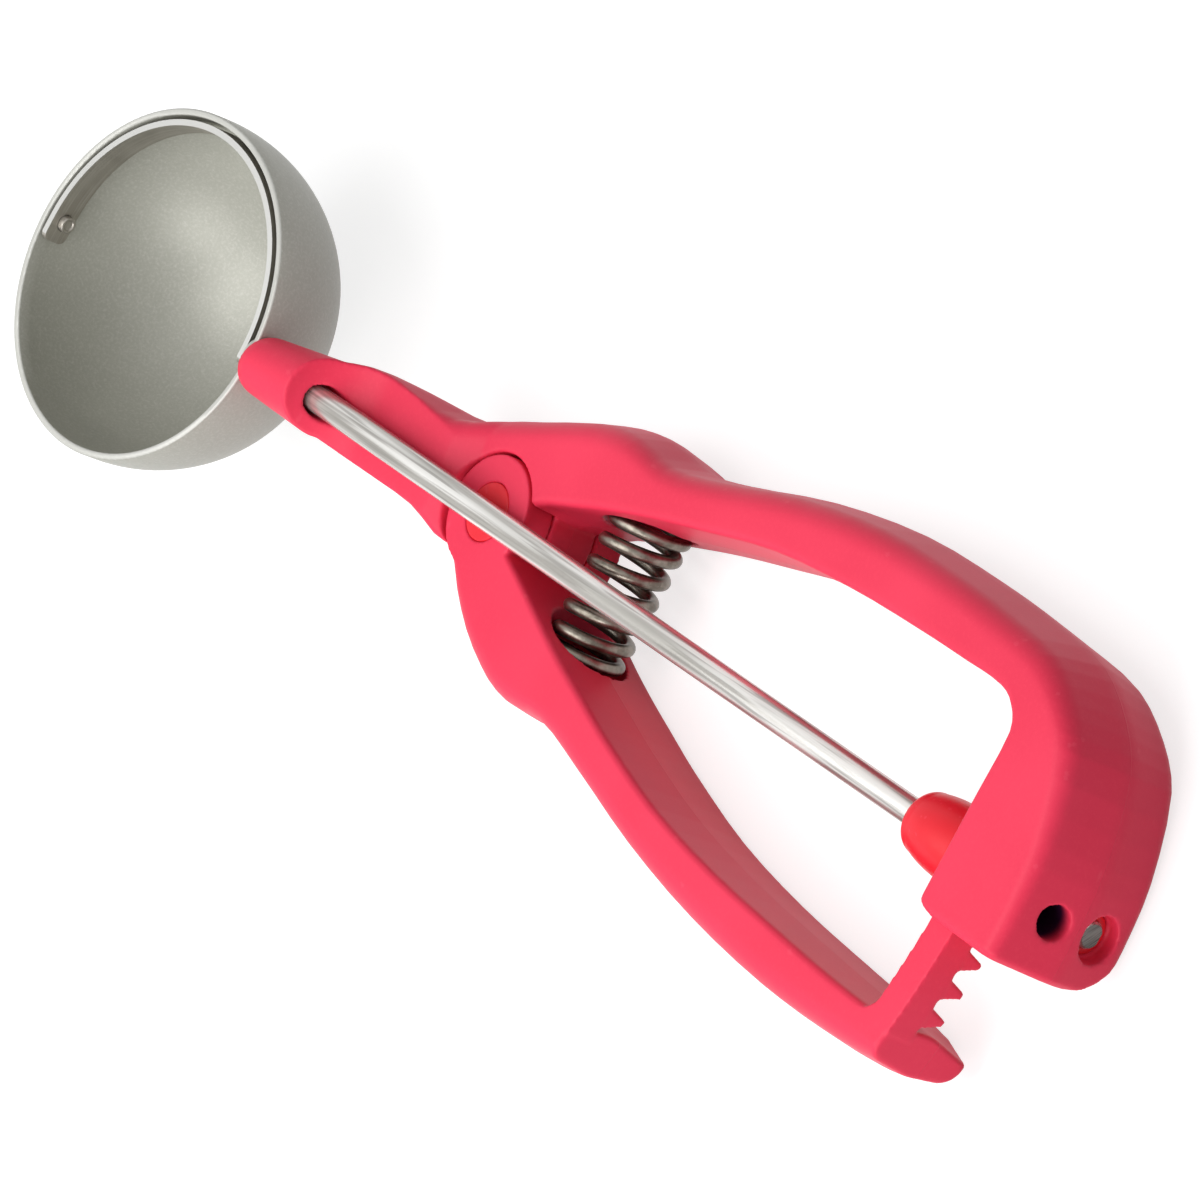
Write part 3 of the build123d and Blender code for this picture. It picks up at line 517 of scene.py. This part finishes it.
def stepped_pin(name, sides, radius, length, is_end, steps):
    """Round pin along Z about the origin, its chosen ends inset in steps of a width and a depth."""
    deselect()
    bpy.ops.mesh.primitive_cylinder_add(vertices=sides, radius=radius, depth=length)
    pin = bpy.context.object
    pin.name = name
    edit_faces(pin, is_end)
    for width, depth in steps:
        bpy.ops.mesh.inset(thickness=width, depth=depth)
    bpy.ops.object.mode_set(mode="OBJECT")
    return pin


def make_pivot_pin():
    """Pivot pin with rounded ends, each with a shallow dish."""
    pin = stepped_pin(
        "pivot_pin_moulding",
        sides=128,
        radius=PIN_RADIUS,
        length=HANDLE_DEPTH,
        is_end=lambda face: abs(face.normal.z) > 0.9,
        steps=((0.0011, -0.00008), (0.0003, 0.0)),
    )
    round_edges(pin, width=0.00028, segments=4, angle=0.5)
    smooth(pin, 40)
    place_mesh(pin, Matrix.Translation((0, 0, HANDLE_DEPTH / 2)))
    dress(pin, pin_finish, "pivot_pin", "frame")


def make_end_pin():
    """Riveted pin in the bowl's far wall, with a turned dimple in its tip."""
    pin = stepped_pin(
        "wiper_rivet",
        sides=64,
        radius=END_PIN_RADIUS,
        length=END_PIN_TIP - END_PIN_FOOT,
        is_end=lambda face: face.normal.z > 0.9,
        steps=((0.00042, 0.0), (0.00014, -0.00022)),
    )
    round_edges(pin, width=0.00012, segments=3, angle=0.5)
    smooth(pin, 40)
    middle = BOWL_CENTRE + SHAFT_DIR * (END_PIN_FOOT + END_PIN_TIP) / 2
    turn = Vector((0, 0, 1)).rotation_difference(SHAFT_DIR).to_matrix().to_4x4()
    place_mesh(pin, Matrix.Translation(middle) @ turn)
    dress(pin, wiper_finish, "wiper_end_pin", "frame")


def spring_heights():
    """Height of the wire's middle line at each step, close wound at both ends."""
    close_turns = 2 * SPRING_END_TURNS + SPRING_RAMP_TURNS
    open_pitch = (SPRING_RISE - SPRING_END_PITCH * close_turns) / (SPRING_TURNS - close_turns)
    heights = [0.0]
    for step in range(SPRING_STEPS):
        turns = (step + 0.5) / SPRING_STEPS * SPRING_TURNS
        from_end = min(turns, SPRING_TURNS - turns) - SPRING_END_TURNS
        share = min(max(from_end / SPRING_RAMP_TURNS, 0.0), 1.0)
        pitch = SPRING_END_PITCH + share * (open_pitch - SPRING_END_PITCH)
        heights.append(heights[-1] + pitch * SPRING_TURNS / SPRING_STEPS)
    return heights


def make_spring():
    """Round wire wound between the two pockets."""
    deselect()
    bpy.ops.mesh.primitive_circle_add(
        vertices=WIRE_SIDES,
        radius=SPRING_WIRE / 2,
        fill_type="NOTHING",
        location=(SPRING_RADIUS, 0, 0),
        rotation=(math.radians(90), 0, 0),
    )
    spring = bpy.context.object
    spring.name = "coil_spring"
    bpy.ops.object.transform_apply(location=True, rotation=True, scale=True)
    apply_modifier(
        spring,
        "SCREW",
        axis="Z",
        angle=2 * math.pi * SPRING_TURNS,
        screw_offset=SPRING_RISE,
        steps=SPRING_STEPS,
        render_steps=SPRING_STEPS,
        use_smooth_shade=True,
        use_merge_vertices=False,
    )
    heights = spring_heights()
    for vertex in spring.data.vertices:
        step = vertex.index // WIRE_SIDES
        vertex.co.z += heights[step] - SPRING_RISE * step / SPRING_STEPS - SPRING_RISE / 2
    edit_all(spring)
    bpy.ops.mesh.fill_holes(sides=0)
    bpy.ops.mesh.select_all(action="SELECT")
    bpy.ops.mesh.normals_make_consistent(inside=False)
    bpy.ops.object.mode_set(mode="OBJECT")
    round_edges(spring, width=0.0002, segments=3, angle=0.9)
    smooth(spring, 50)
    across_tool = Matrix(((0, 1, 0, 0), (0, 0, 1, 0), (1, 0, 0, 0), (0, 0, 0, 1)))
    start_turn = Matrix.Rotation(SPRING_START, 4, "Z")
    place_mesh(spring, Matrix.Translation(SPRING_PLACE) @ across_tool @ start_turn)
    dress(spring, spring_finish, "return_spring")
    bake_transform(spring)


def make_steel():
    """Bowl, sleeve, wiper and shaft as smooth merged pieces."""
    for node, name, finish, body, slot, angle in (
        ("bowl", "scoop_bowl", bowl_finish, "frame", "bowl_steel", 65),
        ("bowl_sleeve", "bowl_tube", bowl_finish, "frame", "bowl_steel", 35),
        ("wiper_blade", "bowl_wiper", wiper_finish, "wiper_drive", "wiper_steel", 30),
        ("drive_shaft", "long_shaft", shaft_finish, "wiper_drive", "shaft_steel", 30),
    ):
        piece = merged_copy(node, name)
        smooth(piece, angle)
        dress(piece, finish, node, body)


def make_floor():
    """Plain pale floor that stays white to the camera and keeps the shadow."""
    deselect()
    bpy.ops.mesh.primitive_plane_add(size=6.0, location=(0, 0, -0.0001))
    floor = bpy.context.object
    floor.name = "studio_floor"
    paint = Paint("floor_white", **{"Base Color": FLOOR_GREY, "Roughness": 0.9})
    matt = Tone(paint, paint.shader.outputs["BSDF"])
    glow = paint.add("ShaderNodeEmission", {}, {"Color": WHITE, "Strength": FLOOR_GLOW})
    lit = paint.add("ShaderNodeAddShader", {}, {0: matt, 1: glow})
    shown = paint.add("ShaderNodeMixShader", {}, {0: paint.seen(), 1: matt, 2: lit})
    paint.feed(paint.tree.nodes["Material Output"], {"Surface": shown})
    floor.data.materials.append(paint.material)


def make_world():
    """White surround to the camera and in reflections, and a softer fill light."""
    world = bpy.data.worlds.new("studio_surround")
    bpy.context.scene.world = world
    world.use_nodes = True
    nodes = Nodes(world.node_tree)
    strength = nodes.seen().between(0.0, 1.0, FILL_LIGHT, 1.0)
    nodes.feed(nodes.tree.nodes["Background"], {"Color": WHITE, "Strength": strength})


def make_lamp(name, place, size, power):
    """Square soft lamp aimed at the tool."""
    deselect()
    bpy.ops.object.light_add(type="AREA", location=place)
    lamp = bpy.context.object
    lamp.name = name
    lamp.data.shape = "SQUARE"
    lamp.data.size = size
    lamp.data.energy = power
    lamp.rotation_euler = (Vector(LAMP_AIM) - Vector(place)).to_track_quat("-Z", "Y").to_euler()


def make_camera():
    """Camera at the photograph's view, fitted to the bowl's rim and the shaft."""
    deselect()
    bpy.ops.object.camera_add()
    camera = bpy.context.object
    place = Vector((1.37947, 0.21691, 1.13529))
    right = Vector((0.51863, 0.46572, -0.71702))
    up = Vector((-0.38313, 0.87631, 0.29206))
    forward = Vector((-0.76435, -0.12324, -0.63291))
    turn = Matrix((right, up, -forward)).transposed().to_4x4()
    camera.matrix_world = Matrix.Translation(place) @ turn
    camera.data.sensor_width = 36.0
    camera.data.lens = 386.84
    camera.data.clip_end = 50.0
    bpy.context.scene.camera = camera


make_camera()
make_mouldings()
make_pivot_pin()
make_end_pin()
make_spring()
make_steel()
make_floor()
make_world()
make_lamp("key_lamp", place=(-0.06, -0.25, 0.90), size=0.80, power=6.5)
make_lamp("side_lamp", place=(0.55, -0.75, 0.55), size=0.60, power=5.6)
bpy.context.scene.view_settings.view_transform = "Standard"
